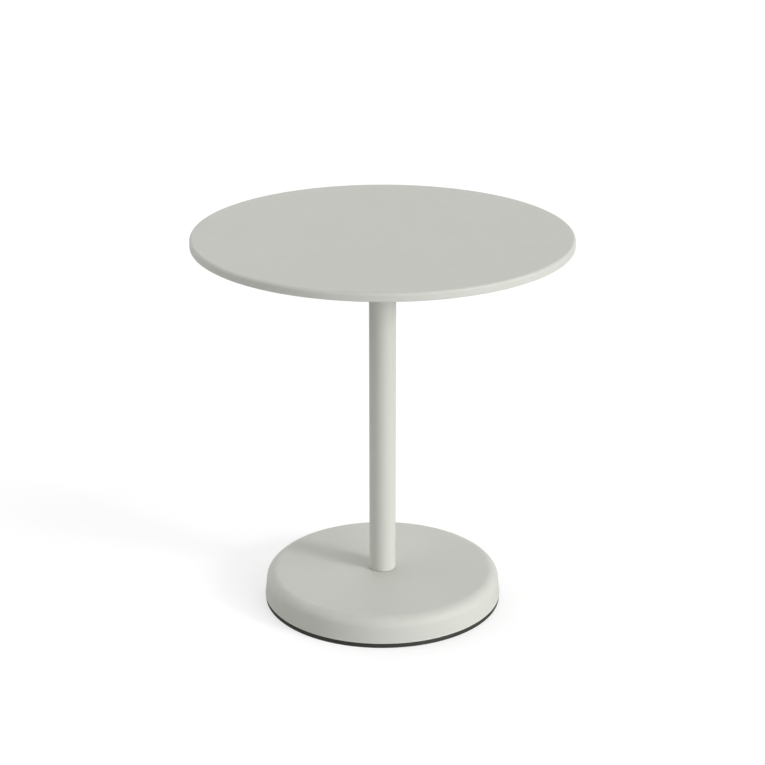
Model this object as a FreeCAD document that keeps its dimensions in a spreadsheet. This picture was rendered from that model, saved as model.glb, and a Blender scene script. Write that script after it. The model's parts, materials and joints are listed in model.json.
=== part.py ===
import FreeCAD, Part
import math
import os
import Sketcher

# Round bistro table: pressed steel top, tube column, drum base over a cast-iron weight.
# Millimetres. Origin at the centre of the floor contact, +Z up, the column on the Z axis.

OUTPUT_FOLDER = "parts"
UPRIGHT = FreeCAD.Vector(0, 0, 1)
FULL_TURN = 360
HEX_CORNERS = 6
HEX_CORNER_RATIO = 1 / math.sqrt(3)     # corner radius of a hexagon / width across flats
HEX_CHAMFER_SLOPE = math.tan(math.radians(30))
SLIT_OVERSIZE = 4                       # cutting box height / washer thickness

# name, value in mm (or a count, or degrees where the text says so), what it is
DIMENSIONS = (
    ("table_height", 725, "floor to table surface"),
    ("top_diameter", 700, "table top, outside"),
    ("top_sheet", 2, "thickness of the top sheet"),
    ("rim_depth", 16, "turned-down rim, full depth"),
    ("rim_crown", 5, "outer radius of the upper rim edge"),
    ("rim_heel", 2, "outer radius of the lower rim edge"),
    ("rim_return", 10, "width of the hem turned in under the rim"),
    ("stiffener_count", 8, "ribs under the top"),
    ("stiffener_depth", 12, "rib height"),
    ("stiffener_thickness", 3, "rib flat bar"),
    ("stiffener_start", 26, "inner end of a rib from the axis"),
    ("stiffener_end", 336, "outer end of a rib from the axis"),
    ("stiffener_taper", 44, "length of the tapered outer end"),
    ("stiffener_toe", 5, "rib height at its outer end"),
    ("mounting_diameter", 240, "plate under the ribs"),
    ("mounting_thickness", 3, "plate under the ribs"),
    ("head_screw_count", 4, "screws between column and top"),
    ("head_screw_circle", 80, "screws, radius from the axis"),
    ("head_screw_radius", 4, "M8 shank"),
    ("head_screw_length", 20, "under the head"),
    ("head_screw_cap", 7, "button head, radius"),
    ("head_screw_cap_height", 4.4, "button head, height"),
    ("head_screw_face", 3.9, "button head, radius of its flat face"),
    ("head_screw_edge", 3.1, "button head, straight edge starts this far from the face"),
    ("head_screw_crown", 2.3, "button head, rounding of the face"),
    ("head_screw_socket", 5, "hexagon socket across flats"),
    ("head_screw_socket_depth", 2.6, "hexagon socket"),
    ("head_washer_radius", 8, "M8 washer"),
    ("head_washer_thickness", 1.6, "M8 washer"),
    ("clearance_radius", 4.5, "clearance hole for M8"),
    ("thread_play", 0.05, "radial play of a screw in its thread, and of a press seat"),
    ("weld_nut_flats", 13, "across flats"),
    ("weld_nut_height", 6.5, "weld nut"),
    ("flange_diameter", 200, "head flange"),
    ("flange_thickness", 6, "head flange"),
    ("flange_weld", 5, "weld fillet between flange and tube"),
    ("column_diameter", 50, "column tube, outside"),
    ("column_wall", 2.5, "column tube, wall"),
    ("gasket_thickness", 0.8, "gasket under the column"),
    ("gasket_inset", 0.4, "gasket edge behind the tube surface"),
    ("plug_length", 40, "threaded plug in the column foot"),
    ("centre_bolt_radius", 8, "M16 shank"),
    ("centre_bolt_length", 70, "under the head"),
    ("centre_bolt_flats", 24, "hexagon head across flats"),
    ("centre_bolt_head", 10, "hexagon head height"),
    ("centre_hole_radius", 9, "clearance hole for M16"),
    ("lock_washer_radius", 13.7, "spring washer, outside"),
    ("lock_washer_bore", 8.4, "spring washer, inside"),
    ("lock_washer_thickness", 3.5, "spring washer"),
    ("lock_washer_gap", 1.6, "slit in the spring washer"),
    ("lock_washer_skew", 20, "slit angle in degrees"),
    ("clamp_washer_radius", 30, "thick washer under the weight"),
    ("clamp_washer_thickness", 5, "thick washer under the weight"),
    ("pin_count", 2, "locating pins"),
    ("pin_circle", 16, "locating pins, from the axis"),
    ("pin_radius", 3, "locating pin"),
    ("pin_length", 17, "locating pin"),
    ("pin_in_weight", 8, "depth of the pin in the weight"),
    ("pin_hole_depth", 8.5, "locating pin holes in the plug"),
    ("pin_chamfer", 0.6, "locating pin ends"),
    ("pin_free_play", 0.4, "radial play of the pins in sheet and gasket"),
    ("base_diameter", 452, "base cover at its lower edge"),
    ("base_height", 58, "floor to the top of the base cover"),
    ("cover_sheet", 2, "thickness of the cover sheet"),
    ("cover_lean", 4.4, "inward lean of the wall over the full cover height"),
    ("cover_shoulder", 21, "outer radius of the cover shoulder"),
    ("cover_hem", 0.8, "rounding of the lower cover edge"),
    ("band_height", 9, "foot ring, visible height"),
    ("band_inset", 0.6, "foot ring face behind the cover face"),
    ("band_upstand", 6, "width of the part of the ring under the cover edge"),
    ("band_ledge", 5, "thickness of the ring under the weight"),
    ("band_inner_radius", 205, "inner edge of the ring"),
    ("band_round", 1.2, "edge rounding of the ring"),
    ("weight_radius", 219, "cast-iron weight"),
    ("weight_thickness", 9, "plain disc of the weight"),
    ("weight_edge", 2.5, "rounding of the casting"),
    ("hub_fillet", 7.5, "fillet between disc and hub"),
    ("hub_root_radius", 54, "hub where it leaves the disc"),
    ("hub_top_radius", 36, "hub under the cover"),
    ("hub_recess_radius", 36, "recess for the bolt head and the clamp washer"),
    ("hub_recess_depth", 19, "recess for the bolt head and the clamp washer"),
    ("web_thickness", 10, "web between hub and foot boss"),
    ("web_height", 38, "web at the hub, from the underside of the weight"),
    ("foot_count", 4, "levelling feet"),
    ("foot_circle", 170, "levelling feet, from the axis"),
    ("foot_heading", 45, "first levelling foot, degrees from +X"),
    ("boss_radius", 31, "foot boss"),
    ("boss_height", 29, "foot boss, from the underside of the weight"),
    ("foot_recess_radius", 23, "recess under a foot boss"),
    ("foot_recess_depth", 6.5, "recess under a foot boss"),
    ("foot_lift", 1, "pad above the floor when screwed in"),
    ("pad_radius", 14, "levelling pad"),
    ("pad_height", 5.5, "levelling pad"),
    ("pad_edge_height", 2, "straight edge of the pad"),
    ("pad_crown_radius", 9, "top of the pad"),
    ("pad_floor", 1.5, "pad material under the stud head"),
    ("pad_play", 0.05, "play of the stud head in the pad, all round"),
    ("stud_head_radius", 6, "captive head"),
    ("stud_head_height", 2, "captive head"),
    ("stud_neck_radius", 3.5, "neck between head and collar"),
    ("stud_radius", 4, "M8 stud"),
    ("stud_top", 35, "stud end above the pad underside"),
    ("collar_flats", 13, "hexagon collar across flats"),
    ("collar_base", 6, "collar above the pad underside"),
    ("collar_height", 4, "hexagon collar"),
    ("end_chamfer", 0.8, "chamfer on screw and stud ends"),
    ("bolt_end_chamfer", 1.6, "chamfer on the centre bolt end"),
)


class Size:
    """A number together with the spreadsheet expression that drives it."""

    def __init__(self, value, text):
        self.value = float(value)
        self.text = text

    def __add__(self, other):
        return combine(self, other, "+", lambda left, right: left + right)

    def __sub__(self, other):
        return combine(self, other, "-", lambda left, right: left - right)

    def __mul__(self, other):
        return combine(self, other, "*", lambda left, right: left * right)

    def __truediv__(self, other):
        return combine(self, other, "/", lambda left, right: left / right)


def as_size(number):
    return number if isinstance(number, Size) else Size(number, repr(float(number)))


def combine(left, right, sign, operate):
    left = as_size(left)
    right = as_size(right)
    return Size(operate(left.value, right.value), f"({left.text} {sign} {right.text})")


class Dimensions:
    """The driving spreadsheet, read as attributes that keep their expression."""

    def __init__(self, document):
        self.sheet = document.addObject("Spreadsheet::Sheet", "Dimensions")
        for row, (alias, value, meaning) in enumerate(DIMENSIONS, start=1):
            self.sheet.set(f"A{row}", meaning)
            self.sheet.set(f"B{row}", str(value))
            self.sheet.setAlias(f"B{row}", alias)
            setattr(self, alias, Size(value, f"Dimensions.{alias}"))


doc = FreeCAD.newDocument("BistroTable")
dim = Dimensions(doc)
doc.recompute()


# ---------------------------------------------------------------- sketch and feature helpers

def new_body(label):
    body = doc.addObject("PartDesign::Body", "Body")
    body.Label = label
    return body


def origin_feature(body, role):
    return next(feature for feature in body.Origin.OriginFeatures if feature.Role == role)


def bind(target, path, size):
    target.setExpression(path, as_size(size).text)


def new_sketch(body, plane, height=None):
    sketch = body.newObject("Sketcher::SketchObject", "Sketch")
    sketch.AttachmentSupport = [(origin_feature(body, plane), "")]
    sketch.MapMode = "FlatFace"
    if height is not None:
        bind(sketch, "AttachmentOffset.Base.z", height)
    return sketch


def drive(sketch, kind, *reference, size):
    """Add a dimensional constraint and tie it to the spreadsheet."""
    index = sketch.addConstraint(Sketcher.Constraint(kind, *reference, size.value))
    bind(sketch, f"Constraints[{index}]", size)


def pin_point(sketch, geometry, end, across, up):
    """Fix one point of the sketch by its two coordinates."""
    across = as_size(across)
    up = as_size(up)
    if across.value == 0:
        sketch.addConstraint(Sketcher.Constraint("PointOnObject", geometry, end, -2))
    else:
        drive(sketch, "DistanceX", -1, 1, geometry, end, size=across)
    if up.value == 0:
        sketch.addConstraint(Sketcher.Constraint("PointOnObject", geometry, end, -1))
    else:
        drive(sketch, "DistanceY", -1, 1, geometry, end, size=up)


def flat_vector(point):
    return FreeCAD.Vector(as_size(point[0]).value, as_size(point[1]).value, 0)


def draw_outline(sketch, corners, rounds):
    """Closed outline through the corners; rounds maps a corner number to its radius."""
    count = len(corners)
    for index, corner in enumerate(corners):
        following = corners[(index + 1) % count]
        sketch.addGeometry(Part.LineSegment(flat_vector(corner), flat_vector(following)))
    for index in range(count):
        sketch.addConstraint(
            Sketcher.Constraint("Coincident", index, 2, (index + 1) % count, 1))
    holders = {}
    arcs = {}
    for index, radius in rounds.items():
        arcs[index] = sketch.GeometryCount
        holders[index] = sketch.GeometryCount + 1
        sketch.fillet((index - 1) % count, 2, radius.value, True, True)
    for index, (across, up) in enumerate(corners):
        pin_point(sketch, holders.get(index, index), 1, across, up)
    for index, radius in rounds.items():
        drive(sketch, "Radius", arcs[index], size=radius)


def draw_circle(sketch, radius, across=0):
    centre = flat_vector((across, 0))
    circle = sketch.addGeometry(Part.Circle(centre, UPRIGHT, radius.value))
    drive(sketch, "Radius", circle, size=radius)
    pin_point(sketch, circle, 3, across, 0)
    return circle


def draw_hexagon(sketch, flats, across=0):
    """Regular hexagon with its first corner on the sketch's horizontal axis."""
    reach = flats * HEX_CORNER_RATIO
    guide = draw_circle(sketch, reach, across)
    sketch.toggleConstruction(guide)
    middle = as_size(across).value
    corners = []
    for step in range(HEX_CORNERS):
        angle = math.radians(FULL_TURN * step / HEX_CORNERS)
        corners.append(FreeCAD.Vector(middle + reach.value * math.cos(angle),
                                      reach.value * math.sin(angle), 0))
    sides = []
    for step in range(HEX_CORNERS):
        side = Part.LineSegment(corners[step], corners[(step + 1) % HEX_CORNERS])
        sides.append(sketch.addGeometry(side))
    for step, side in enumerate(sides):
        following = sides[(step + 1) % HEX_CORNERS]
        sketch.addConstraint(Sketcher.Constraint("Coincident", side, 2, following, 1))
        sketch.addConstraint(Sketcher.Constraint("PointOnObject", side, 1, guide))
        if step:
            sketch.addConstraint(Sketcher.Constraint("Equal", sides[0], side))
    sketch.addConstraint(Sketcher.Constraint("PointOnObject", sides[0], 1, -1))


def turn(body, corners, rounds=None, axis_at=None, kind="PartDesign::Revolution"):
    """Turn an outline about the Z axis, or about a parallel axis at axis_at on X."""
    sketch = new_sketch(body, "XZ_Plane")
    draw_outline(sketch, corners, rounds or {})
    turned = body.newObject(kind, "Turned")
    turned.Profile = sketch
    if axis_at is None:
        turned.ReferenceAxis = (sketch, ["V_Axis"])
    else:
        foot = flat_vector((axis_at, 0))
        axis = sketch.addGeometry(Part.LineSegment(foot, foot + FreeCAD.Vector(0, 1, 0)))
        sketch.toggleConstruction(axis)
        pin_point(sketch, axis, 1, axis_at, 0)
        pin_point(sketch, axis, 2, axis_at, 1)
        turned.ReferenceAxis = (sketch, ["Axis0"])
    turned.Angle = FULL_TURN
    return turned


def pad(body, sketch, length, symmetric=False):
    feature = body.newObject("PartDesign::Pad", "Pad")
    feature.Profile = sketch
    feature.Length = length.value
    bind(feature, "Length", length)
    feature.Midplane = symmetric
    return feature


def cut_up(body, sketch, depth=None):
    """Pocket from the sketch upwards; right through when no depth is given."""
    feature = body.newObject("PartDesign::Pocket", "Pocket")
    feature.Profile = sketch
    feature.Reversed = True
    if depth is None:
        feature.Type = "ThroughAll"
    else:
        feature.Length = depth.value
        bind(feature, "Length", depth)
    return feature


def drill(body, radius, across=0, height=None, depth=None):
    sketch = new_sketch(body, "XY_Plane", height)
    draw_circle(sketch, radius, across)
    return cut_up(body, sketch, depth)


def disc(body, radius, length, bore=None, across=0):
    """Round plate, with a hole when a bore radius is given."""
    sketch = new_sketch(body, "XY_Plane")
    draw_circle(sketch, radius, across)
    if bore is not None:
        draw_circle(sketch, bore, across)
    return pad(body, sketch, length)


def repeat_around(body, originals, count):
    """Repeat the features evenly around the Z axis."""
    pattern = body.newObject("PartDesign::PolarPattern", "Around")
    pattern.Originals = originals
    pattern.Axis = (origin_feature(body, "Z_Axis"), [""])
    pattern.Angle = FULL_TURN
    pattern.Occurrences = int(count.value)
    bind(pattern, "Occurrences", count)
    body.Tip = pattern
    return pattern


def chamfer_hexagon(body, flats, height):
    """Cut the corners of a hexagon's lower face, at the given height, to a cone."""
    inner = flats / 2
    outer = flats * HEX_CORNER_RATIO + 1
    rise = (outer - inner) * HEX_CHAMFER_SLOPE
    corners = [(inner, height), (outer, height), (outer, rise + height)]
    turn(body, corners, kind="PartDesign::Groove")


def place(part, up=0, across=0, along=0, heading=0):
    """Seat a sub-part at a position of the document, turned by heading degrees about Z."""
    spots = [as_size(across), as_size(along), as_size(up)]
    heading = as_size(heading)
    position = FreeCAD.Vector(*(spot.value for spot in spots))
    part.Placement = FreeCAD.Placement(position, FreeCAD.Rotation(UPRIGHT, heading.value))
    for axis, spot in zip("xyz", spots):
        if spot.value:
            bind(part, f"Placement.Base.{axis}", spot)
    if heading.value:
        bind(part, "Placement.Rotation.Angle", heading)


# ---------------------------------------------------------------- levels that parts share

top_radius = dim.top_diameter / 2
sheet_underside = dim.table_height - dim.top_sheet
ribs_underside = sheet_underside - dim.stiffener_depth
mounting_underside = ribs_underside - dim.mounting_thickness
flange_underside = mounting_underside - dim.flange_thickness
column_radius = dim.column_diameter / 2
column_bore = column_radius - dim.column_wall
column_foot = dim.base_height + dim.gasket_thickness
weight_underside = dim.band_ledge
cover_underside = dim.base_height - dim.cover_sheet
hub_height = cover_underside - weight_underside
clamp_washer_top = weight_underside + dim.hub_recess_depth
clamp_washer_underside = clamp_washer_top - dim.clamp_washer_thickness
lock_washer_underside = clamp_washer_underside - dim.lock_washer_thickness
tapped_m8 = dim.head_screw_radius + dim.thread_play
tapped_m16 = dim.centre_bolt_radius + dim.thread_play
pin_seat = dim.pin_radius + dim.thread_play
pin_passage = dim.pin_radius + dim.pin_free_play

nodes = []


def keep(part, expected_solids=1):
    nodes.append((part, expected_solids))


# ---------------------------------------------------------------- table top

def make_tabletop():
    """Pressed sheet with a turned-down rim and a hem turned in at its lower edge."""
    body = new_body("tabletop")
    inside = top_radius - dim.top_sheet
    hem_top = dim.top_sheet
    corners = [
        (0, dim.rim_depth - dim.top_sheet),
        (inside, dim.rim_depth - dim.top_sheet),
        (inside, hem_top),
        (top_radius - dim.rim_return, hem_top),
        (top_radius - dim.rim_return, 0),
        (top_radius, 0),
        (top_radius, dim.rim_depth),
        (0, dim.rim_depth),
    ]
    rounds = {1: dim.rim_crown - dim.top_sheet, 5: dim.rim_heel, 6: dim.rim_crown}
    turn(body, corners, rounds)
    place(body, up=dim.table_height - dim.rim_depth)
    keep(body)


def make_stiffener(number):
    """Flat bar on edge under the sheet, tapered where it meets the rim."""
    body = new_body(f"top_rib_{number}")
    sketch = new_sketch(body, "XZ_Plane")
    corners = [
        (dim.stiffener_start, 0),
        (dim.stiffener_end - dim.stiffener_taper, 0),
        (dim.stiffener_end, dim.stiffener_depth - dim.stiffener_toe),
        (dim.stiffener_end, dim.stiffener_depth),
        (dim.stiffener_start, dim.stiffener_depth),
    ]
    draw_outline(sketch, corners, {})
    pad(body, sketch, dim.stiffener_thickness, symmetric=True)
    step = as_size(FULL_TURN) / dim.stiffener_count
    place(body, up=ribs_underside, heading=step * (number - 0.5))
    keep(body)


def make_mounting_plate():
    """Round plate welded under the ribs, drilled for the column screws."""
    body = new_body("top_mounting_plate")
    disc(body, dim.mounting_diameter / 2, dim.mounting_thickness)
    hole = drill(body, dim.clearance_radius, dim.head_screw_circle)
    repeat_around(body, [hole], dim.head_screw_count)
    place(body, up=mounting_underside, heading=dim.foot_heading)
    keep(body)


def make_weld_nuts():
    """Hexagon nuts welded on the mounting plate, one over each screw hole."""
    body = new_body("weld_nuts")
    centre = dim.head_screw_circle
    sketch = new_sketch(body, "XY_Plane")
    draw_hexagon(sketch, dim.weld_nut_flats, centre)
    draw_circle(sketch, tapped_m8, centre)
    nut = pad(body, sketch, dim.weld_nut_height)
    repeat_around(body, [nut], dim.head_screw_count)
    place(body, up=ribs_underside, heading=dim.foot_heading)
    keep(body, int(dim.head_screw_count.value))


# ---------------------------------------------------------------- column

def make_head_flange():
    """Round plate on the tube end with the weld fillet between the two."""
    body = new_body("head_flange")
    flange_radius = dim.flange_diameter / 2
    weld = dim.flange_weld
    weld_bore = column_radius + dim.thread_play
    upper = weld + dim.flange_thickness
    corners = [
        (0, weld),
        (weld_bore, weld),
        (weld_bore, 0),
        (weld_bore + weld, weld),
        (flange_radius, weld),
        (flange_radius, upper),
        (0, upper),
    ]
    turn(body, corners, {4: dim.end_chamfer, 5: dim.end_chamfer})
    hole = drill(body, dim.clearance_radius, dim.head_screw_circle)
    repeat_around(body, [hole], dim.head_screw_count)
    place(body, up=flange_underside - weld, heading=dim.foot_heading)
    keep(body)


def make_head_washers():
    body = new_body("head_washers")
    ring = disc(body, dim.head_washer_radius, dim.head_washer_thickness,
                dim.clearance_radius, dim.head_screw_circle)
    repeat_around(body, [ring], dim.head_screw_count)
    place(body, up=flange_underside - dim.head_washer_thickness, heading=dim.foot_heading)
    keep(body, int(dim.head_screw_count.value))


def make_head_screws():
    """M8 button-head screws, heads down, with a hexagon socket."""
    body = new_body("head_screws")
    centre = dim.head_screw_circle
    cap = dim.head_screw_cap_height
    tip = cap + dim.head_screw_length
    shank = centre + dim.head_screw_radius
    corners = [
        (centre, 0),
        (centre + dim.head_screw_face, 0),
        (centre + dim.head_screw_cap, dim.head_screw_edge),
        (centre + dim.head_screw_cap, cap),
        (shank, cap),
        (shank, tip - dim.end_chamfer),
        (shank - dim.end_chamfer, tip),
        (centre, tip),
    ]
    screw = turn(body, corners, {1: dim.head_screw_crown}, axis_at=centre)
    sketch = new_sketch(body, "XY_Plane")
    draw_hexagon(sketch, dim.head_screw_socket, centre)
    socket = cut_up(body, sketch, dim.head_screw_socket_depth)
    repeat_around(body, [screw, socket], dim.head_screw_count)
    place(body, up=flange_underside - dim.head_washer_thickness - cap, heading=dim.foot_heading)
    keep(body, int(dim.head_screw_count.value))


def make_column_tube():
    body = new_body("column_tube")
    disc(body, column_radius, flange_underside - column_foot, column_bore)
    place(body, up=column_foot)
    keep(body)


def make_foot_plug():
    """Turned steel plug welded in the tube end, tapped for the centre bolt."""
    body = new_body("column_foot_plug")
    radius = column_bore - dim.thread_play
    corners = [
        (tapped_m16, 0),
        (radius, 0),
        (radius, dim.plug_length),
        (tapped_m16, dim.plug_length),
    ]
    turn(body, corners, {2: dim.end_chamfer})
    hole = drill(body, pin_seat, dim.pin_circle, depth=dim.pin_hole_depth)
    repeat_around(body, [hole], dim.pin_count)
    place(body, up=column_foot, heading=dim.foot_heading)
    keep(body)


def make_gasket():
    body = new_body("column_gasket")
    disc(body, column_radius - dim.gasket_inset, dim.gasket_thickness, dim.centre_hole_radius)
    hole = drill(body, pin_passage, dim.pin_circle)
    repeat_around(body, [hole], dim.pin_count)
    place(body, up=dim.base_height, heading=dim.foot_heading)
    keep(body)


# ---------------------------------------------------------------- base

def make_base_cover():
    """Pressed drum: flat top, rounded shoulder, slightly drafted wall."""
    body = new_body("base_cover")
    outer = dim.base_diameter / 2
    height = dim.base_height - dim.band_height
    ceiling = height - dim.cover_sheet
    corners = [
        (outer, 0),
        (outer - dim.cover_lean, height),
        (dim.centre_hole_radius, height),
        (dim.centre_hole_radius, ceiling),
        (outer - dim.cover_lean - dim.cover_sheet, ceiling),
        (outer - dim.cover_sheet, 0),
    ]
    rounds = {
        0: dim.cover_hem,
        1: dim.cover_shoulder,
        4: dim.cover_shoulder - dim.cover_sheet,
    }
    turn(body, corners, rounds)
    hole = drill(body, pin_passage, dim.pin_circle)
    repeat_around(body, [hole], dim.pin_count)
    place(body, up=dim.band_height, heading=dim.foot_heading)
    keep(body)


def make_base_weight():
    """Cast-iron disc with a hub, four webs and four bosses for the levelling feet."""
    body = new_body("base_weight")
    corners = [
        (dim.centre_hole_radius, dim.hub_recess_depth),
        (dim.hub_recess_radius, dim.hub_recess_depth),
        (dim.hub_recess_radius, 0),
        (dim.weight_radius, 0),
        (dim.weight_radius, dim.weight_thickness),
        (dim.hub_root_radius, dim.weight_thickness),
        (dim.hub_top_radius, hub_height),
        (dim.centre_hole_radius, hub_height),
    ]
    rounds = {2: dim.weight_edge, 3: dim.weight_edge, 4: dim.weight_edge,
              5: dim.hub_fillet, 6: dim.weight_edge}
    turn(body, corners, rounds)
    web_start = dim.hub_recess_radius + dim.weight_edge
    web_floor = dim.weight_thickness / 2
    web_sketch = new_sketch(body, "XZ_Plane")
    web_corners = [
        (web_start, web_floor),
        (dim.foot_circle, web_floor),
        (dim.foot_circle, dim.boss_height - dim.weight_edge),
        (web_start, dim.web_height),
    ]
    draw_outline(web_sketch, web_corners, {})
    web = pad(body, web_sketch, dim.web_thickness, symmetric=True)
    boss = disc(body, dim.boss_radius, dim.boss_height, across=dim.foot_circle)
    recess = drill(body, dim.foot_recess_radius, dim.foot_circle, depth=dim.foot_recess_depth)
    thread = drill(body, dim.stud_radius + dim.thread_play, dim.foot_circle)
    repeat_around(body, [web, boss, recess, thread], dim.foot_count)
    seat = drill(body, pin_seat, dim.pin_circle, height=hub_height - dim.pin_in_weight)
    repeat_around(body, [seat], dim.pin_count)
    place(body, up=weight_underside, heading=dim.foot_heading)
    keep(body)


def make_centre_bolt():
    """M16 hexagon bolt, head down."""
    body = new_body("centre_bolt")
    sketch = new_sketch(body, "XY_Plane")
    draw_hexagon(sketch, dim.centre_bolt_flats)
    pad(body, sketch, dim.centre_bolt_head)
    chamfer_hexagon(body, dim.centre_bolt_flats, 0)
    tip = dim.centre_bolt_head + dim.centre_bolt_length
    corners = [
        (0, dim.centre_bolt_head / 2),
        (dim.centre_bolt_radius, dim.centre_bolt_head / 2),
        (dim.centre_bolt_radius, tip - dim.bolt_end_chamfer),
        (dim.centre_bolt_radius - dim.bolt_end_chamfer, tip),
        (0, tip),
    ]
    turn(body, corners)
    place(body, up=lock_washer_underside - dim.centre_bolt_head)
    keep(body)


def make_lock_washer():
    """Spring washer: a ring with one skewed slit."""
    outside = doc.addObject("Part::Cylinder", "LockWasherOutside")
    bind(outside, "Radius", dim.lock_washer_radius)
    bind(outside, "Height", dim.lock_washer_thickness)
    bore = doc.addObject("Part::Cylinder", "LockWasherBore")
    bind(bore, "Radius", dim.lock_washer_bore)
    bind(bore, "Height", dim.lock_washer_thickness)
    ring = doc.addObject("Part::Cut", "LockWasherRing")
    ring.Base = outside
    ring.Tool = bore
    slit = doc.addObject("Part::Box", "LockWasherSlit")
    bind(slit, "Length", dim.lock_washer_radius * 2)
    bind(slit, "Width", dim.lock_washer_gap)
    bind(slit, "Height", dim.lock_washer_thickness * SLIT_OVERSIZE)
    tilt = FreeCAD.Rotation(FreeCAD.Vector(1, 0, 0), dim.lock_washer_skew.value)
    slit.Placement = FreeCAD.Placement(FreeCAD.Vector(0, 0, 0), tilt)
    bind(slit, "Placement.Base.z", as_size(0) - dim.lock_washer_thickness)
    washer = doc.addObject("Part::Cut", "LockWasher")
    washer.Label = "lock_washer"
    washer.Base = ring
    washer.Tool = slit
    place(washer, up=lock_washer_underside)
    keep(washer)


def make_clamp_washer():
    body = new_body("clamp_washer")
    top = dim.clamp_washer_thickness
    corners = [
        (dim.centre_hole_radius, 0),
        (dim.clamp_washer_radius, 0),
        (dim.clamp_washer_radius, top),
        (dim.centre_hole_radius, top),
    ]
    turn(body, corners, {1: dim.end_chamfer, 2: dim.end_chamfer})
    place(body, up=clamp_washer_underside)
    keep(body)


def make_locating_pins():
    body = new_body("locating_pins")
    centre = dim.pin_circle
    radius = centre + dim.pin_radius
    corners = [
        (centre, 0),
        (radius - dim.pin_chamfer, 0),
        (radius, dim.pin_chamfer),
        (radius, dim.pin_length - dim.pin_chamfer),
        (radius - dim.pin_chamfer, dim.pin_length),
        (centre, dim.pin_length),
    ]
    pin = turn(body, corners, axis_at=centre)
    repeat_around(body, [pin], dim.pin_count)
    place(body, up=cover_underside - dim.pin_in_weight, heading=dim.foot_heading)
    keep(body, int(dim.pin_count.value))


def make_foot_ring():
    """Rubber ring: a ledge under the weight and an upstand that carries the cover edge."""
    body = new_body("foot_ring")
    outer = dim.base_diameter / 2 - dim.band_inset
    step = outer - dim.band_upstand
    corners = [
        (dim.band_inner_radius, 0),
        (outer, 0),
        (outer, dim.band_height),
        (step, dim.band_height),
        (step, dim.band_ledge),
        (dim.band_inner_radius, dim.band_ledge),
    ]
    turn(body, corners, {0: dim.band_round, 1: dim.band_round, 5: dim.band_round})
    place(body)
    keep(body)


# ---------------------------------------------------------------- levelling feet

def place_at_foot(part, number):
    heading = dim.foot_heading + as_size(FULL_TURN) / dim.foot_count * (number - 1)
    angle = math.radians(heading.value)
    place(part, up=dim.foot_lift, across=dim.foot_circle * math.cos(angle),
          along=dim.foot_circle * math.sin(angle), heading=heading)


def make_foot_stud(number):
    """Threaded stud with a hexagon collar and a captive head for the pad."""
    body = new_body(f"levelling_foot_stud_{number}")
    head_bottom = dim.pad_floor
    head_top = head_bottom + dim.stud_head_height
    corners = [
        (0, head_bottom),
        (dim.stud_head_radius, head_bottom),
        (dim.stud_head_radius, head_top),
        (dim.stud_neck_radius, head_top),
        (dim.stud_neck_radius, dim.collar_base),
        (dim.stud_radius, dim.collar_base),
        (dim.stud_radius, dim.stud_top - dim.end_chamfer),
        (dim.stud_radius - dim.end_chamfer, dim.stud_top),
        (0, dim.stud_top),
    ]
    turn(body, corners)
    sketch = new_sketch(body, "XY_Plane", dim.collar_base)
    draw_hexagon(sketch, dim.collar_flats)
    pad(body, sketch, dim.collar_height)
    chamfer_hexagon(body, dim.collar_flats, dim.collar_base)
    place_at_foot(body, number)
    keep(body)


def make_foot_pad(number):
    """Plastic pad with an undercut socket that snaps over the stud head."""
    body = new_body(f"levelling_foot_pad_{number}")
    socket_floor = dim.pad_floor - dim.pad_play
    socket_top = dim.pad_floor + dim.stud_head_height + dim.pad_play
    socket_radius = dim.stud_head_radius + dim.pad_play
    mouth = dim.stud_neck_radius + dim.pad_play
    corners = [
        (0, 0),
        (dim.pad_radius, 0),
        (dim.pad_radius, dim.pad_edge_height),
        (dim.pad_crown_radius, dim.pad_height),
        (mouth, dim.pad_height),
        (mouth, socket_top),
        (socket_radius, socket_top),
        (socket_radius, socket_floor),
        (0, socket_floor),
    ]
    turn(body, corners, {1: dim.end_chamfer, 2: dim.end_chamfer})
    place_at_foot(body, number)
    keep(body)


def build():
    make_tabletop()
    for number in range(1, int(dim.stiffener_count.value) + 1):
        make_stiffener(number)
    make_mounting_plate()
    make_weld_nuts()
    make_head_flange()
    make_head_washers()
    make_head_screws()
    make_column_tube()
    make_foot_plug()
    make_gasket()
    make_base_cover()
    make_base_weight()
    make_centre_bolt()
    make_lock_washer()
    make_clamp_washer()
    make_locating_pins()
    make_foot_ring()
    for number in range(1, int(dim.foot_count.value) + 1):
        make_foot_stud(number)
        make_foot_pad(number)
    doc.recompute()


CUTTING_FEATURES = ("PartDesign::Pocket", "PartDesign::Groove")
SMALLEST_CUT = 1.0      # mm3


def check_features():
    """Stop on a failed feature, on a loose sketch and on a cut that removed nothing."""
    for item in doc.Objects:
        if "Invalid" in item.State or "Error" in item.State:
            raise RuntimeError(f"{item.Name} {item.Label}: {item.State}")
        if item.TypeId == "Sketcher::SketchObject" and not item.FullyConstrained:
            raise RuntimeError(f"{item.Name}: sketch is not fully constrained")
        if item.TypeId in CUTTING_FEATURES:
            removed = item.BaseFeature.Shape.Volume - item.Shape.Volume
            if removed < SMALLEST_CUT:
                raise RuntimeError(f"{item.Name}: removed {removed:.3f} mm3")


def write_parts():
    os.makedirs(OUTPUT_FOLDER, exist_ok=True)
    for part, expected_solids in nodes:
        shape = part.Shape
        if shape.isNull() or not shape.isValid():
            raise RuntimeError(f"{part.Label}: bad shape")
        if len(shape.Solids) != expected_solids:
            raise RuntimeError(f"{part.Label}: {len(shape.Solids)} solids")
        shape.exportStep(os.path.join(OUTPUT_FOLDER, f"{part.Label}.step"))
        print(f"{part.Label}: {len(shape.Solids)} solid(s), {shape.Volume:.0f} mm3")


build()
check_features()
write_parts()
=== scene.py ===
import json
import math

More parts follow.
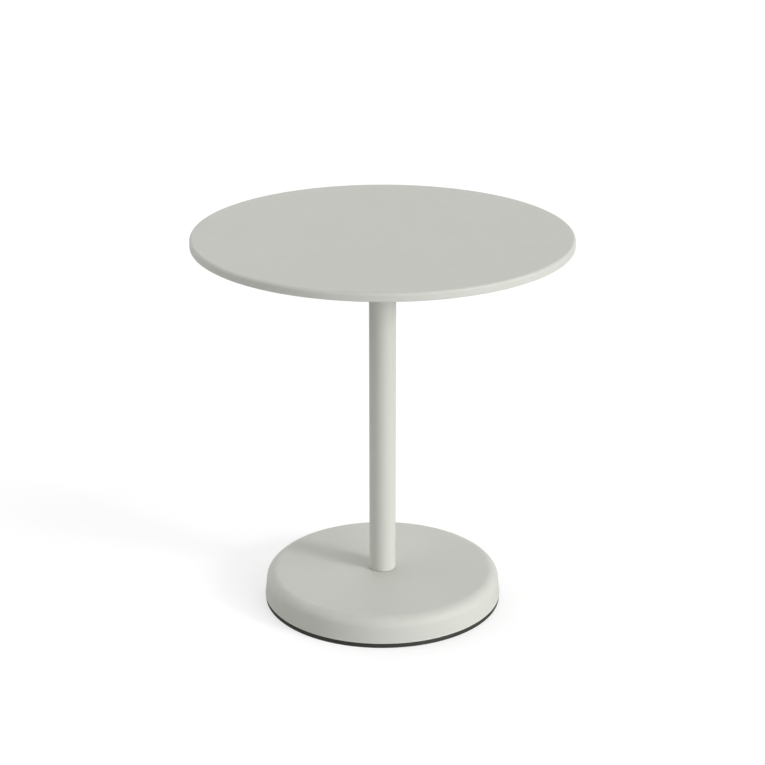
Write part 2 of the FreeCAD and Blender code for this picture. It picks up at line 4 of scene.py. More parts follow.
import bmesh
import bpy
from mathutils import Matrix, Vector

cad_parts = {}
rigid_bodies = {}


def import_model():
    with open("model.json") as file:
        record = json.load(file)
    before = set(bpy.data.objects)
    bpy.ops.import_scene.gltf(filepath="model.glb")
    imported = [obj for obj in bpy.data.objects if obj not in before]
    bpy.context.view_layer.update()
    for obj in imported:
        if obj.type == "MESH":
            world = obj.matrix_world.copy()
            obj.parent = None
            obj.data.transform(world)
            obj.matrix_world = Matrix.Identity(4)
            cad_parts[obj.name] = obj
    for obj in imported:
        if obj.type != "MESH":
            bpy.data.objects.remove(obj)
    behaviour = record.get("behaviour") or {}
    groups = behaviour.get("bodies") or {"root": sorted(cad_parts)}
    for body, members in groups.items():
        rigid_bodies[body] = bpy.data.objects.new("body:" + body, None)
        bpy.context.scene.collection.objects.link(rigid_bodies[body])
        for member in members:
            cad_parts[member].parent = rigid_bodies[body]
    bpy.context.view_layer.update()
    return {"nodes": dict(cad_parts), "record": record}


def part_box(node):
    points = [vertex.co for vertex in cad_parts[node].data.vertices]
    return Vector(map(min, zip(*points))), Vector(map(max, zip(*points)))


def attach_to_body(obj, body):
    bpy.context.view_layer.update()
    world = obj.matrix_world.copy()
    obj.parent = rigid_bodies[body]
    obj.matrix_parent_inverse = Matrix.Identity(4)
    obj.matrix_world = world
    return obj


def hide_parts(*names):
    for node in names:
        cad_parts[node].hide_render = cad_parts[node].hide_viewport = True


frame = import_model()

# Bistro table in one pale grey-green powder coat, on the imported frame. Metres throughout.

MM = 0.001
MICRON = 0.001 * MM
TABLE = "table"                 # the CAD body that everything but the levelling feet belongs to
scene = bpy.context.scene


# ---------------------------------------------------------------- mesh helpers

POLE = 1e-6                     # a ring smaller than this is one point on the axis
HOLD = 0.35                     # holding ring beside a rounding, as a share of its radius
JOIN_REACH = 1e-6               # corners of CAD patches nearer than this are one corner
FLAT_ANGLE = math.radians(0.5)  # faces nearer in tilt than this are one face
SHARP_ANGLE = math.radians(35.0)
SOFT_STEPS = 2


def round_outline(corners, steps=8):
    """Points (r, z, edge) of a closed outline through (r, z, rounding radius) corners.

    edge is 1 on a rounding and 0 elsewhere; the material wears where it is high."""
    points = []
    count = len(corners)
    for index, (r, z, radius) in enumerate(corners):
        here = Vector((r, z))
        if radius == 0:
            points.append((r, z, 0.0))
            continue
        back = (Vector(corners[index - 1][:2]) - here).normalized()
        ahead = (Vector(corners[(index + 1) % count][:2]) - here).normalized()
        half = back.angle(ahead) / 2
        reach = radius / math.tan(half)
        centre = here + (back + ahead).normalized() * radius / math.sin(half)
        spoke = here + back * reach - centre
        start = math.atan2(spoke.y, spoke.x)
        swing = math.pi - 2 * half
        if back.cross(ahead) > 0:
            swing = -swing
        hold = here + back * (reach + radius * HOLD)
        points.append((hold.x, hold.y, 0.0))
        for step in range(steps + 1):
            angle = start + swing * step / steps
            points.append((centre.x + radius * math.cos(angle),
                           centre.y + radius * math.sin(angle), 1.0))
        hold = here + ahead * (reach + radius * HOLD)
        points.append((hold.x, hold.y, 0.0))
    return points


def finish_mesh(bm, name):
    """Turn a bmesh into a smooth-shaded object of the scene."""
    bmesh.ops.recalc_face_normals(bm, faces=bm.faces)
    mesh = bpy.data.meshes.new(name)
    bm.to_mesh(mesh)
    bm.free()
    mesh.shade_smooth()
    piece = bpy.data.objects.new(name, mesh)
    scene.collection.objects.link(piece)
    return piece


def lathe(name, outline, segments):
    """Turn a closed outline of (r, z, edge) points about the Z axis."""
    bm = bmesh.new()
    edge_layer = bm.verts.layers.float.new("edge")
    rings = []
    for r, z, edge in outline:
        count = 1 if r < POLE else segments
        ring = []
        for step in range(count):
            angle = 2 * math.pi * step / segments
            vert = bm.verts.new((r * math.cos(angle), r * math.sin(angle), z))
            vert[edge_layer] = edge
            ring.append(vert)
        rings.append(ring)
    for index, ring in enumerate(rings):
        following = rings[(index + 1) % len(rings)]
        for step in range(segments):
            ahead = (step + 1) % segments
            corners = [ring[step % len(ring)], ring[ahead % len(ring)],
                       following[ahead % len(following)], following[step % len(following)]]
            corners = list(dict.fromkeys(corners))
            if len(corners) > 2:
                bm.faces.new(corners)
    return finish_mesh(bm, name)


def reach_of(node):
    """Largest distance of a CAD node from the Z axis."""
    low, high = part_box(node)
    return max(high.x, high.y, -low.x, -low.y)


def join_patches(node):
    """A CAD mesh comes in as loose triangle patches: join them and make its flat faces whole."""
    join = node.modifiers.new("join_patches", "WELD")
    join.merge_threshold = JOIN_REACH
    whole = node.modifiers.new("whole_faces", "DECIMATE")
    whole.decimate_type = "DISSOLVE"
    whole.angle_limit = FLAT_ANGLE


def soften(piece, width):
    """Round a piece's sharp edges, as paint, plating or casting does."""
    bevel = piece.modifiers.new("soft_edges", "BEVEL")
    bevel.width = width
    bevel.segments = SOFT_STEPS
    bevel.limit_method = "ANGLE"
    bevel.angle_limit = SHARP_ANGLE
    bevel.harden_normals = True


# ---------------------------------------------------------------- material helpers

MIX_COLOURS = slice(6, 8)       # a Mix node's two colour inputs, which share names with others
MIX_RESULT = 2                  # and its colour output


class Surface:
    """A procedural material whose patterns are fixed to the object's own coordinates."""

    def __init__(self, name):
        self.material = bpy.data.materials.new(name)
        self.material.use_nodes = True
        self.tree = self.material.node_tree
        self.shader = self.tree.nodes["Principled BSDF"]
        self.coordinates = self.tree.nodes.new("ShaderNodeTexCoord").outputs["Object"]

    def link(self, source, target):
        self.tree.links.new(source, target)

    def noise(self, scale, detail=2.0, rough=0.5):
        node = self.tree.nodes.new("ShaderNodeTexNoise")
        node.inputs["Scale"].default_value = scale
        node.inputs["Detail"].default_value = detail
        node.inputs["Roughness"].default_value = rough
        self.link(self.coordinates, node.inputs["Vector"])
        return node.outputs["Fac"]

    def spots(self, scale):
        """Distance to the nearest of scattered points, for pits and flecks."""
        node = self.tree.nodes.new("ShaderNodeTexVoronoi")
        node.inputs["Scale"].default_value = scale
        self.link(self.coordinates, node.inputs["Vector"])
        return node.outputs["Distance"]

    def stretch(self, value, low, high, to_low=0.0, to_high=1.0):
        """Map low..high of a value to to_low..to_high, held outside."""
        node = self.tree.nodes.new("ShaderNodeMapRange")
        node.inputs["From Min"].default_value = low
        node.inputs["From Max"].default_value = high
        node.inputs["To Min"].default_value = to_low
        node.inputs["To Max"].default_value = to_high
        self.link(value, node.inputs["Value"])
        return node.outputs["Result"]

    def combine(self, operation, first, second):
        """One step of arithmetic on two sockets, or on a socket and a number."""
        node = self.tree.nodes.new("ShaderNodeMath")
        node.operation = operation
        for socket, value in zip(node.inputs, (first, second)):
            if isinstance(value, (int, float)):
                socket.default_value = value
            else:
                self.link(value, socket)
        return node.outputs["Value"]

    def edge(self):
        """The mesh's edge value: 1 on a rounding, 0 on flat stretches."""
        node = self.tree.nodes.new("ShaderNodeAttribute")
        node.attribute_name = "edge"
        return node.outputs["Fac"]

    def blend(self, factor, first, second):
        """Mix two colours; each is an RGB triple or a socket."""
        node = self.tree.nodes.new("ShaderNodeMix")
        node.data_type = "RGBA"
        self.link(factor, node.inputs["Factor"])
        for socket, colour in zip(node.inputs[MIX_COLOURS], (first, second)):
            if isinstance(colour, tuple):
                socket.default_value = (*colour, 1.0)
            else:
                self.link(colour, socket)
        return node.outputs[MIX_RESULT]

    def bump(self, height, distance, under=None):
        """Relief of the given height in metres, laid over an earlier relief."""
        node = self.tree.nodes.new("ShaderNodeBump")
        node.inputs["Distance"].default_value = distance
        self.link(height, node.inputs["Height"])
        if under is not None:
            self.link(under, node.inputs["Normal"])
        return node.outputs["Normal"]

    def finish(self, colour, roughness, normal):
        self.link(colour, self.shader.inputs["Base Color"])
        self.link(roughness, self.shader.inputs["Roughness"])
        self.link(normal, self.shader.inputs["Normal"])
        return self.material


def mix_shaders(tree, factor, first, second):
    """Mix two shaders; the factor is a number or a socket."""
    node = tree.nodes.new("ShaderNodeMixShader")
    if isinstance(factor, float):
        node.inputs["Fac"].default_value = factor
    else:
        tree.links.new(factor, node.inputs["Fac"])
    tree.links.new(first, node.inputs[1])
    tree.links.new(second, node.inputs[2])
    return node.outputs["Shader"]


def scaled(colour, factor):
    """A colour made lighter or darker."""
    return tuple(channel * factor for channel in colour)


# ---------------------------------------------------------------- materials

COAT = (0.500, 0.506, 0.466)        # powder coat, pale warm grey-green
COAT_ROUGHNESS = (0.54, 0.62)       # its smoothest and roughest patches, where it isn't rubbed
COAT_SPECULAR = 0.35
RUBBER = (0.024, 0.023, 0.019)
GASKET = (0.24, 0.24, 0.22)
IRON = (0.050, 0.051, 0.052)
RUST = (0.105, 0.052, 0.028)
ZINC = (0.50, 0.51, 0.51)
ZINC_HAZE = (0.56, 0.55, 0.50)
NYLON = (0.024, 0.024, 0.025)


def make_powder_coat():
    """Satin powder coat: fine orange peel, faint drift of tone, slightly polished edges."""
    surface = Surface("powder_coat_satin")
    drift = surface.stretch(surface.noise(scale=4.0, detail=3.0), low=0.35, high=0.65)
    tone = surface.blend(drift, scaled(COAT, 0.985), scaled(COAT, 1.015))
    fleck = surface.stretch(surface.noise(scale=2400.0, detail=1.0), low=0.3, high=0.7)
    grain = surface.blend(fleck, scaled(COAT, 0.96), scaled(COAT, 1.04))
    cover = surface.stretch(surface.noise(scale=60.0), 0.0, 1.0, to_low=0.35, to_high=0.65)
    tone = surface.blend(cover, tone, grain)
    handled = surface.noise(scale=22.0, detail=4.0, rough=0.65)
    rubbed = surface.combine("MULTIPLY", surface.edge(),
                             surface.stretch(handled, low=0.5, high=0.72))
    tone = surface.blend(surface.combine("MULTIPLY", rubbed, 0.5), tone, scaled(COAT, 1.10))
    satin = surface.stretch(surface.noise(scale=35.0, detail=4.0), 0.3, 0.7, *COAT_ROUGHNESS)
    roughness = surface.combine("SUBTRACT", satin, surface.combine("MULTIPLY", rubbed, 0.10))
    peel = surface.bump(surface.noise(scale=700.0, detail=1.5), 22 * MICRON)
    sheet = surface.bump(surface.noise(scale=3.0, detail=1.0), 60 * MICRON, under=peel)
    surface.shader.inputs["Specular IOR Level"].default_value = COAT_SPECULAR
    return surface.finish(tone, roughness, sheet)


def make_rubber(name, colour):
    """Moulded rubber with a dull bloom and specks of dust."""
    surface = Surface(name)
    haze = surface.noise(scale=28.0, detail=5.0, rough=0.6)
    bloom = surface.stretch(haze, low=0.4, high=0.75)
    tone = surface.blend(bloom, colour, scaled(colour, 1.3))
    speck = surface.stretch(surface.spots(scale=900.0), 0.05, 0.2, to_low=1.0, to_high=0.0)
    tone = surface.blend(surface.combine("MULTIPLY", speck, 0.3), tone, scaled(colour, 2.0))
    roughness = surface.stretch(bloom, 0.0, 1.0, to_low=0.52, to_high=0.68)
    mould = surface.bump(surface.noise(scale=1400.0, detail=2.0), 25 * MICRON)
    return surface.finish(tone, roughness, mould)


def make_iron():
    """Sand-cast iron under dark primer: grainy, with pits and a little rust."""
    surface = Surface("primed_iron")
    cloud = surface.noise(scale=14.0, detail=5.0, rough=0.6)
    patch = surface.stretch(cloud, low=0.35, high=0.7)
    tone = surface.blend(patch, scaled(IRON, 0.75), scaled(IRON, 1.35))
    bloom = surface.noise(scale=38.0, detail=8.0, rough=0.72)
    rust = surface.stretch(bloom, low=0.56, high=0.74)
    tone = surface.blend(surface.combine("MULTIPLY", rust, 0.65), tone, RUST)
    grain = surface.noise(scale=160.0, detail=3.0)
    roughness = surface.stretch(grain, 0.3, 0.7, to_low=0.58, to_high=0.80)
    sand = surface.bump(surface.noise(scale=420.0, detail=4.0, rough=0.6), 160 * MICRON)
    pit = surface.stretch(surface.spots(scale=90.0), low=0.0, high=0.18)
    pits = surface.bump(pit, 220 * MICRON, under=sand)
    return surface.finish(tone, roughness, pits)


def make_zinc():
    """Bright zinc plate: soft crystalline patches, a faint haze and fine marks."""
    surface = Surface("zinc_plate")
    surface.shader.inputs["Metallic"].default_value = 1.0
    patch = surface.stretch(surface.noise(scale=240.0, detail=3.0), low=0.35, high=0.65)
    tone = surface.blend(patch, scaled(ZINC, 0.96), scaled(ZINC, 1.02))
    cloud = surface.noise(scale=75.0, detail=4.0, rough=0.6)
    haze = surface.stretch(cloud, low=0.5, high=0.75)
    tone = surface.blend(surface.combine("MULTIPLY", haze, 0.3), tone, ZINC_HAZE)
    grain = surface.noise(scale=300.0, detail=3.0)
    roughness = surface.stretch(grain, 0.3, 0.7, to_low=0.38, to_high=0.42)
    marks = surface.bump(surface.noise(scale=2600.0, detail=2.0), 4 * MICRON)
    return surface.finish(tone, roughness, marks)


def make_nylon():
    """Moulded dark nylon with a fine spark texture and scuffs."""
    surface = Surface("pad_nylon")
    worn = surface.noise(scale=90.0, detail=6.0, rough=0.7)
    scuff = surface.stretch(worn, low=0.55, high=0.75)
    tone = surface.blend(scuff, NYLON, scaled(NYLON, 2.6))
    roughness = surface.stretch(scuff, 0.0, 1.0, to_low=0.42, to_high=0.62)
    spark = surface.bump(surface.noise(scale=1800.0, detail=2.0), 18 * MICRON)
    return surface.finish(tone, roughness, spark)


MATERIALS = {
    "powder_coat": make_powder_coat(),
    "foot_rubber": make_rubber("foot_rubber", RUBBER),
    "gasket_rubber": make_rubber("gasket_rubber", GASKET),
    "primed_iron": make_iron(),
    "zinc_plated": make_zinc(),
    "pad_nylon": make_nylon(),
}


def dress_cad_nodes():
    """Give each carried-over CAD node the material of its slot in the record."""
    for entry in frame["record"]["subparts"]:
        mesh = frame["nodes"][entry["node"]].data
        for index in range(len(mesh.materials)):
            mesh.materials[index] = MATERIALS[entry["material_slot"]]


def attach(piece, body, slot):
    """Give a piece its slot's material and let it ride on its body."""
    piece.data.materials.append(MATERIALS[slot])
    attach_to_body(piece, body)


def stand_in(piece, node, slot):
    """Show a piece in place of a CAD node of the table body."""
    attach(piece, TABLE, slot)
    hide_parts(node)


# ---------------------------------------------------------------- turned pieces

FINE_TURN = 288                 # steps round a wide piece
COLUMN_TURN = 96
SHEET = 2.0 * MM
TUBE_WALL = 2.5 * MM
RIM_CROWN = 5.0 * MM            # upper rounding of the top's rim
RIM_HEEL = 2.0 * MM             # its lower rounding
RIM_RETURN = 10.0 * MM          # width of the flange turned in under it
PAINT_ROUND = 0.5 * MM          # paint softens every cut edge
COVER_SHOULDER = 21.0 * MM
COVER_LEAN = 4.4 * MM           # how far the cover's wall leans in towards its top
COVER_STEPS = 20                # steps of a rounding of the cover
COVER_HEM = 0.5 * MM            # edge rounding of the bead at the cover's hem
HEM_PROUD = 0.35 * MM           # how far that bead stands out of the wall
HEM_HEIGHT = 1.5 * MM
CENTRE_HOLE = 9.0 * MM          # radius of the hole in the cover
RING_INNER = 205.0 * MM         # inner radius of the foot ring
RING_UPSTAND = 6.0 * MM         # width of the foot ring's upstand
RING_LEDGE = 5.0 * MM           # thickness of the ledge inside it
RING_ROUND = 0.8 * MM
RING_STEPS = 5
GROOVE_COUNT = 4
GROOVE_WIDTH = 1.6 * MM
GROOVE_DEPTH = 0.9 * MM
GROOVE_ROUND = 0.27 * MM


def make_tabletop():
    """Pressed sheet top: a rounded rim with a flange turned in under it."""
    low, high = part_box("tabletop")
    radius = reach_of("tabletop")
    corners = [
        (0.0, high.z, 0.0),
        (radius, high.z, RIM_CROWN),
        (radius, low.z, RIM_HEEL),
        (radius - RIM_RETURN, low.z, PAINT_ROUND),
        (radius - RIM_RETURN, low.z + SHEET, PAINT_ROUND),
        (radius - SHEET, low.z + SHEET, PAINT_ROUND),
        (radius - SHEET, high.z - SHEET, RIM_CROWN - SHEET),
        (0.0, high.z - SHEET, 0.0),
    ]
    piece = lathe("tabletop_pressed", round_outline(corners), FINE_TURN)
    stand_in(piece, "tabletop", "powder_coat")


def make_base_cover():
    """Pressed sheet cover: a leaning wall, a wide shoulder and a small bead at its hem."""
    low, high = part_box("base_cover")
    radius = reach_of("base_cover")
    corners = [
        (radius + HEM_PROUD, low.z, COVER_HEM),
        (radius + HEM_PROUD, low.z + HEM_HEIGHT, COVER_HEM),
        (radius - HEM_PROUD, low.z + 2 * HEM_HEIGHT, COVER_HEM),
        (radius - COVER_LEAN, high.z, COVER_SHOULDER),
        (CENTRE_HOLE, high.z, PAINT_ROUND),
        (CENTRE_HOLE, high.z - SHEET, PAINT_ROUND),
        (radius - COVER_LEAN - SHEET, high.z - SHEET, COVER_SHOULDER - SHEET),
        (radius - SHEET, low.z, PAINT_ROUND),
    ]
    piece = lathe("base_cover_pressed", round_outline(corners, COVER_STEPS), FINE_TURN)
    stand_in(piece, "base_cover", "powder_coat")


def make_column():
    """Plain tube, open at both ends."""
    low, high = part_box("column_tube")
    radius = reach_of("column_tube")
    corners = [
        (radius, low.z, PAINT_ROUND),
        (radius, high.z, PAINT_ROUND),
        (radius - TUBE_WALL, high.z, PAINT_ROUND),
        (radius - TUBE_WALL, low.z, PAINT_ROUND),
    ]
    piece = lathe("column_drawn_tube", round_outline(corners), COLUMN_TURN)
    stand_in(piece, "column_tube", "powder_coat")


def make_foot_ring():
    """Rubber ring with a ledge and an upstand; its floor face has shallow grip grooves."""
    low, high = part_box("foot_ring")
    radius = reach_of("foot_ring")
    upstand = radius - RING_UPSTAND
    corners = [(RING_INNER, low.z, RING_ROUND)]
    pitch = (radius - RING_INNER) / (GROOVE_COUNT + 1)
    for number in range(1, GROOVE_COUNT + 1):
        middle = RING_INNER + pitch * number
        corners += [
            (middle - GROOVE_WIDTH / 2, low.z, GROOVE_ROUND),
            (middle - GROOVE_WIDTH / 2, low.z + GROOVE_DEPTH, GROOVE_ROUND),
            (middle + GROOVE_WIDTH / 2, low.z + GROOVE_DEPTH, GROOVE_ROUND),
            (middle + GROOVE_WIDTH / 2, low.z, GROOVE_ROUND),
        ]
    corners += [
        (radius, low.z, RING_ROUND),
        (radius, high.z, RING_ROUND / 2),
        (upstand, high.z, RING_ROUND / 2),
        (upstand, low.z + RING_LEDGE, RING_ROUND / 2),
        (RING_INNER, low.z + RING_LEDGE, RING_ROUND),
    ]
    piece = lathe("foot_ring_moulded", round_outline(corners, RING_STEPS), FINE_TURN)
    stand_in(piece, "foot_ring", "foot_rubber")


# ---------------------------------------------------------------- welds and threads

BEAD_STEPS = 8                  # steps across a weld bead
RIPPLE_PITCH = 2.1 * MM
RIPPLE_STEPS = 7                # steps along one ripple
BEAD_SINK = 0.4 * MM            # how far a bead's root lies inside the metal
BEAD_CROWN = 0.11               # how far its face bulges, as a share of the leg length
BEAD_RIPPLE = 0.045             # height of a ripple, likewise
BEAD_TOE = 0.05                 # how far its toes run on into the metal, likewise
BEAD_FULLNESS = 5               # the higher, the longer an open bead keeps its full size
BEAD_END = 0.02                 # square of an open bead's size at its very ends
RIPPLE_BOW = 2.2                # how far a ripple bows ahead at the middle of the face, radians
FLANGE_BEAD = 5.6 * MM          # leg length of the ring bead
STITCH_BEAD = 3.0 * MM          # and of the stitches
STITCH_LENGTH = 26.0 * MM
STITCH_RADII = (0.150, 0.205, 0.260, 0.312)     # of the stitches' middles
RIB_COUNT = 8
RIB_HALF = 1.5 * MM             # half a rib's thickness
THREAD_PITCH = 1.25 * MM
THREAD_MAJOR = 4.0 * MM         # radius of the crests
THREAD_MINOR = 3.35 * MM        # and of the roots
THREAD_CREST = 1.25             # height over the crest where the flanks would meet
THREAD_SLOPE = 3.0              # rise of a flank, in thread heights to one pitch
THREAD_SEGMENTS = 40
THREAD_ROWS = 10                # rows of the mesh in one pitch
STUD_COUNT = 4
STUD_THREAD_START = 9.2 * MM    # thread's start over the stud's lowest point
STUD_THREAD_LAP = 0.5 * MM      # how far it starts inside the hexagon
STUD_EDGE = 0.2 * MM
SAME_CORNER = 1e-7              # corners of a stud nearer than this are one corner


def weld_bead(bm, path, steps, size, closed):
    """Add a rippled fillet bead. path(share) gives its root corner and the two leg directions."""
    rows = []
    for step in range(steps if closed else steps + 1):
        share = step / steps
        root, leg_a, leg_b = path(share)
        swell = 1.0
        if not closed:
            swell = max(1.0 - abs(2 * share - 1) ** BEAD_FULLNESS, BEAD_END) ** 0.5
        row = [bm.verts.new(root - (leg_a + leg_b) * BEAD_SINK)]
        for across in range(BEAD_STEPS + 1):
            part = (1 + 2 * BEAD_TOE) * across / BEAD_STEPS - BEAD_TOE
            arch = math.sin(math.pi * min(max(part, 0.0), 1.0))
            ripple = math.sin(2 * math.pi * step / RIPPLE_STEPS - RIPPLE_BOW * arch)
            lift = (BEAD_CROWN + BEAD_RIPPLE * ripple) * arch
            spot = leg_a * (1 - part + lift) + leg_b * (part + lift)
            row.append(bm.verts.new(root + spot * size * swell))
        rows.append(row)
    count = len(rows[0])
    for index in range(len(rows) if closed else len(rows) - 1):
        row, following = rows[index], rows[(index + 1) % len(rows)]
        for side in range(count):
            ahead = (side + 1) % count
            bm.faces.new((row[side], row[ahead], following[ahead], following[side]))
    if not closed:
        bm.faces.new(rows[0])
        bm.faces.new(rows[-1])


def make_flange_weld():
    """Ring bead between the column and the underside of its head flange."""
    column = reach_of("column_tube")
    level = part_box("column_tube")[1].z

    def ring(share):
        angle = 2 * math.pi * share
        out = Vector((math.cos(angle), math.sin(angle), 0.0))
        return out * column + Vector((0.0, 0.0, level)), out, Vector((0.0, 0.0, -1.0))

    bm = bmesh.new()
    ripples = round(2 * math.pi * column / RIPPLE_PITCH)
    weld_bead(bm, ring, ripples * RIPPLE_STEPS, FLANGE_BEAD, closed=True)
    attach(finish_mesh(bm, "flange_weld_bead"), TABLE, "powder_coat")


def make_rib_welds():
    """Short stitch beads between each rib and the top sheet, on alternate sides."""
    under_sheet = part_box("top_rib_1")[1].z
    bm = bmesh.new()
    for rib in range(RIB_COUNT):
        heading = 2 * math.pi * (rib + 0.5) / RIB_COUNT
        along = Vector((math.cos(heading), math.sin(heading), 0.0))
        for number, radius in enumerate(STITCH_RADII):
            side = Vector((-along.y, along.x, 0.0)) * (1 if number % 2 else -1)
            middle = along * radius + side * RIB_HALF + Vector((0.0, 0.0, under_sheet))

            def stitch(share, middle=middle, along=along, side=side):
                root = middle + along * (share - 0.5) * STITCH_LENGTH
                return root, side, Vector((0.0, 0.0, -1.0))

            steps = round(STITCH_LENGTH / RIPPLE_PITCH) * RIPPLE_STEPS
            weld_bead(bm, stitch, steps, STITCH_BEAD, closed=False)
    attach(finish_mesh(bm, "rib_stitch_welds"), TABLE, "powder_coat")


def add_thread(bm, centre, low, high):
    """Add a closed screw thread about a vertical axis, as one surface wound on a cylinder."""
    count = round((high - low) / THREAD_PITCH * THREAD_ROWS)
    rings = []
    for row in range(count + 1):
        z = low + (high - low) * row / count
        taper = min(1.0, (high - z) / THREAD_PITCH)
        ring = []
        for step in range(THREAD_SEGMENTS):
            angle = 2 * math.pi * step / THREAD_SEGMENTS
            phase = (z / THREAD_PITCH - step / THREAD_SEGMENTS) % 1.0
            flank = min(1.0, max(0.0, THREAD_CREST - abs(phase - 0.5) * THREAD_SLOPE))
            radius = THREAD_MINOR + (THREAD_MAJOR - THREAD_MINOR) * flank * taper
            ring.append(bm.verts.new((centre.x + radius * math.cos(angle),
                                      centre.y + radius * math.sin(angle), z)))
        rings.append(ring)
    for ring, following in zip(rings, rings[1:]):
        for step in range(THREAD_SEGMENTS):
            ahead = (step + 1) % THREAD_SEGMENTS
            bm.faces.new((ring[step], ring[ahead], following[ahead], following[step]))
    bm.faces.new(rings[0])
    bm.faces.new(rings[-1])


def make_foot_studs():
    """Each stud keeps its CAD head and hexagon and gets a real thread above them."""
    for number in range(1, STUD_COUNT + 1):
        node = f"levelling_foot_stud_{number}"
        low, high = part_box(node)
        cut = low.z + STUD_THREAD_START
        bm = bmesh.new()
        bm.from_mesh(frame["nodes"][node].data)
        bmesh.ops.remove_doubles(bm, verts=bm.verts, dist=SAME_CORNER)
        parts = bm.verts[:] + bm.edges[:] + bm.faces[:]
        bmesh.ops.bisect_plane(bm, geom=parts, plane_co=(0.0, 0.0, cut),
                               plane_no=(0.0, 0.0, 1.0), clear_outer=True)
        open_edges = [edge for edge in bm.edges if edge.is_boundary]
        bmesh.ops.holes_fill(bm, edges=open_edges)
        add_thread(bm, (low + high) / 2, cut - STUD_THREAD_LAP, high.z)
        piece = finish_mesh(bm, f"foot_stud_threaded_{number}")
        attach(piece, f"foot_stud_{number}", "zinc_plated")
        soften(piece, STUD_EDGE)
        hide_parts(node)


# ---------------------------------------------------------------- softened CAD nodes

# Width of the rounding on the sharp edges of these CAD nodes.
SOFT_EDGES = {
    "top_mounting_plate": 0.5 * MM,
    "head_flange": 0.5 * MM,
    "weld_nuts": 0.3 * MM,
    "head_screws": 0.15 * MM,
    "head_washers": 0.2 * MM,
    "centre_bolt": 0.3 * MM,
    "lock_washer": 0.2 * MM,
    "base_weight": 1.2 * MM,
    **{f"top_rib_{number}": 0.4 * MM for number in range(1, RIB_COUNT + 1)},
}


def soften_cad_nodes():
    """Round the sharp edges of the CAD nodes listed in SOFT_EDGES."""
    for name, width in SOFT_EDGES.items():
        node = frame["nodes"][name]
        join_patches(node)
        soften(node, width)


# ---------------------------------------------------------------- stage: floor, light, camera

SENSOR_WIDTH = 36.0             # this and the lens in millimetres
LENS = 95.6988
CAMERA_DISTANCE = 3.5542
CAMERA_HEIGHT = 1.7629
CAMERA_PITCH = math.radians(20.462)
FLOOR_REACH = 40.0
FLOOR_CELLS = 8
FLOOR_TONE = 0.94
FLOOR_DULL = 0.93               # its tone where the faint mottling is darkest
FLOOR_ROUGHNESS = 0.85
FLOOR_SPECULAR = 0.2
FLOOR_BOUNCE = 0.55             # its tone for every ray but the camera's
FLOOR_GLOW = 1.15               # what the floor shows of itself, whatever the light
GLOW_SHARE = 0.50               # share of that in what the camera sees
SUN_DISTANCE = 6.0
UNDER_PLACE = (0.10, -0.08, -0.75)
UNDER_SIZE = 0.30
UNDER_WATTS = 7.0
WORLD_LIGHT = 0.03              # how bright the surroundings are as light
WORLD_SHOWN = 1.00              # how bright they look behind the floor's horizon

# Soft suns: name, azimuth (0 is +X, -90 the camera's side), elevation, softness, strength.
# The three angles are in degrees.
SUNS = (
    ("key_low", -30.0, 20.0, 14.0, 1.74),
    ("key_high", -30.0, 35.0, 50.0, 1.20),
    ("low_front", -60.0, 4.0, 24.0, 1.52),
    ("fill_left", 180.0, 15.0, 90.0, 1.89),
    ("fill_back_left", 135.0, 15.0, 90.0, 0.98),
    ("fill_back", 90.0, 15.0, 90.0, 1.17),
    ("fill_back_right", 45.0, 15.0, 90.0, 0.77),
)


def make_floor_material():
    """Partly lit and partly glowing to the camera, duller to other rays, and clear from below."""
    surface = Surface("pale_floor")
    tone = surface.blend(surface.noise(scale=2.0), (FLOOR_TONE,) * 3, (FLOOR_DULL,) * 3)
    surface.link(tone, surface.shader.inputs["Base Color"])
    surface.shader.inputs["Roughness"].default_value = FLOOR_ROUGHNESS
    surface.shader.inputs["Specular IOR Level"].default_value = FLOOR_SPECULAR
    tree = surface.tree
    glow = tree.nodes.new("ShaderNodeEmission")
    glow.inputs["Color"].default_value = (FLOOR_GLOW, FLOOR_GLOW, FLOOR_GLOW, 1.0)
    dull = tree.nodes.new("ShaderNodeBsdfDiffuse")
    dull.inputs["Color"].default_value = (FLOOR_BOUNCE, FLOOR_BOUNCE, FLOOR_BOUNCE, 1.0)
    clear = tree.nodes.new("ShaderNodeBsdfTransparent")
    to_camera = tree.nodes.new("ShaderNodeLightPath").outputs["Is Camera Ray"]
    from_below = tree.nodes.new("ShaderNodeNewGeometry").outputs["Backfacing"]
    pale = mix_shaders(tree, GLOW_SHARE, surface.shader.outputs["BSDF"], glow.outputs["Emission"])
    above = mix_shaders(tree, to_camera, dull.outputs["BSDF"], pale)
    whole = mix_shaders(tree, from_below, above, clear.outputs["BSDF"])
    surface.link(whole, tree.nodes["Material Output"].inputs["Surface"])
    return surface.material


def make_floor():
    """Pale floor, seen through from below so that the underside can be looked at."""
    bm = bmesh.new()
    bmesh.ops.create_grid(bm, x_segments=FLOOR_CELLS, y_segments=FLOOR_CELLS, size=FLOOR_REACH)
    floor = finish_mesh(bm, "floor")
    floor.data.materials.append(make_floor_material())


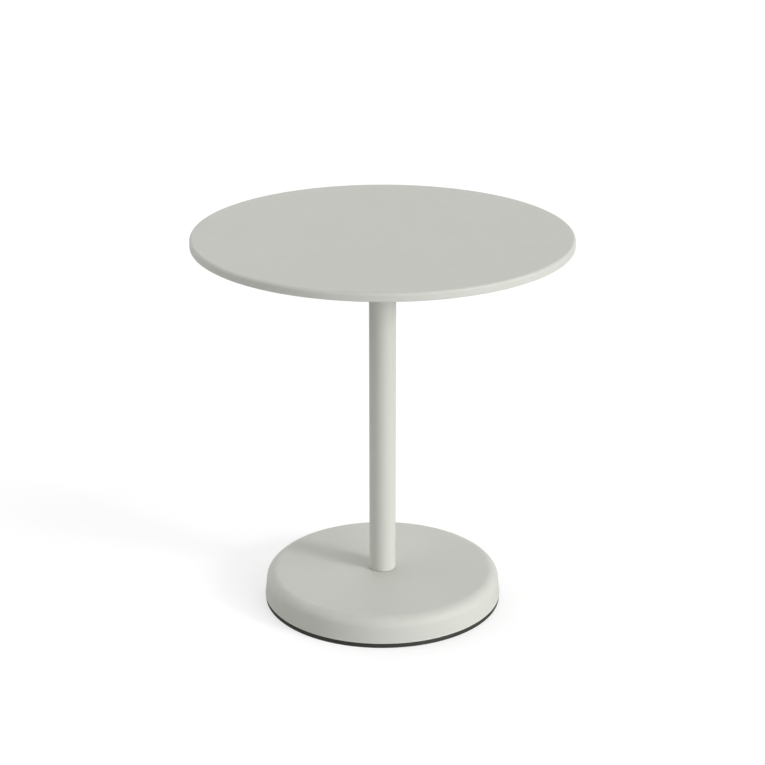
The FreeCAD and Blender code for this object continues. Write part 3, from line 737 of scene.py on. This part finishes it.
def make_world():
    """Even surroundings, shown paler than the light they give, so that the horizon melts away."""
    world = bpy.data.worlds.new("studio")
    world.use_nodes = True
    tree = world.node_tree
    lit = tree.nodes["Background"]
    shown = tree.nodes.new("ShaderNodeBackground")
    for node, strength in ((lit, WORLD_LIGHT), (shown, WORLD_SHOWN)):
        node.inputs["Color"].default_value = (1.0, 1.0, 1.0, 1.0)
        node.inputs["Strength"].default_value = strength
    to_camera = tree.nodes.new("ShaderNodeLightPath").outputs["Is Camera Ray"]
    mixed = mix_shaders(tree, to_camera, lit.outputs["Background"], shown.outputs["Background"])
    tree.links.new(mixed, tree.nodes["World Output"].inputs["Surface"])
    scene.world = world


def make_sun(name, azimuth, elevation, softness, strength):
    """A sun that stands at an azimuth and elevation, softness degrees wide."""
    data = bpy.data.lights.new(name, "SUN")
    data.angle = math.radians(softness)
    data.energy = strength
    lamp = bpy.data.objects.new(name, data)
    scene.collection.objects.link(lamp)
    turn = math.radians(azimuth)
    rise = math.radians(elevation)
    away = Vector((math.cos(turn) * math.cos(rise), math.sin(turn) * math.cos(rise),
                   math.sin(rise)))
    lamp.location = away * SUN_DISTANCE
    lamp.rotation_mode = "QUATERNION"
    lamp.rotation_quaternion = away.to_track_quat("Z", "Y")


def make_under_light():
    """A lamp under the floor, for views from below: it lights the table's pieces only."""
    data = bpy.data.lights.new("under_base", "AREA")
    data.shape = "DISK"
    data.size = UNDER_SIZE
    data.energy = UNDER_WATTS
    lamp = bpy.data.objects.new("under_base", data)
    scene.collection.objects.link(lamp)
    lamp.location = UNDER_PLACE
    lamp.rotation_euler = (math.pi, 0.0, 0.0)
    lamp.visible_camera = False
    lit = bpy.data.collections.new("lit_from_below")
    for piece in scene.objects:
        if piece.type == "MESH" and piece.name != "floor":
            lit.objects.link(piece)
    lamp.light_linking.receiver_collection = lit
    lamp.light_linking.blocker_collection = lit


def make_camera():
    """Long lens from the front, looking down a little, with plain Standard colours."""
    data = bpy.data.cameras.new("camera")
    data.sensor_width = SENSOR_WIDTH
    data.lens = LENS
    camera = bpy.data.objects.new("camera", data)
    scene.collection.objects.link(camera)
    camera.location = (0.0, -CAMERA_DISTANCE, CAMERA_HEIGHT)
    camera.rotation_euler = (math.pi / 2 - CAMERA_PITCH, 0.0, 0.0)
    scene.camera = camera
    scene.view_settings.view_transform = "Standard"


dress_cad_nodes()
make_tabletop()
make_base_cover()
make_column()
make_foot_ring()
make_flange_weld()
make_rib_welds()
make_foot_studs()
soften_cad_nodes()
make_floor()
make_world()
for sun in SUNS:
    make_sun(*sun)
make_under_light()
make_camera()
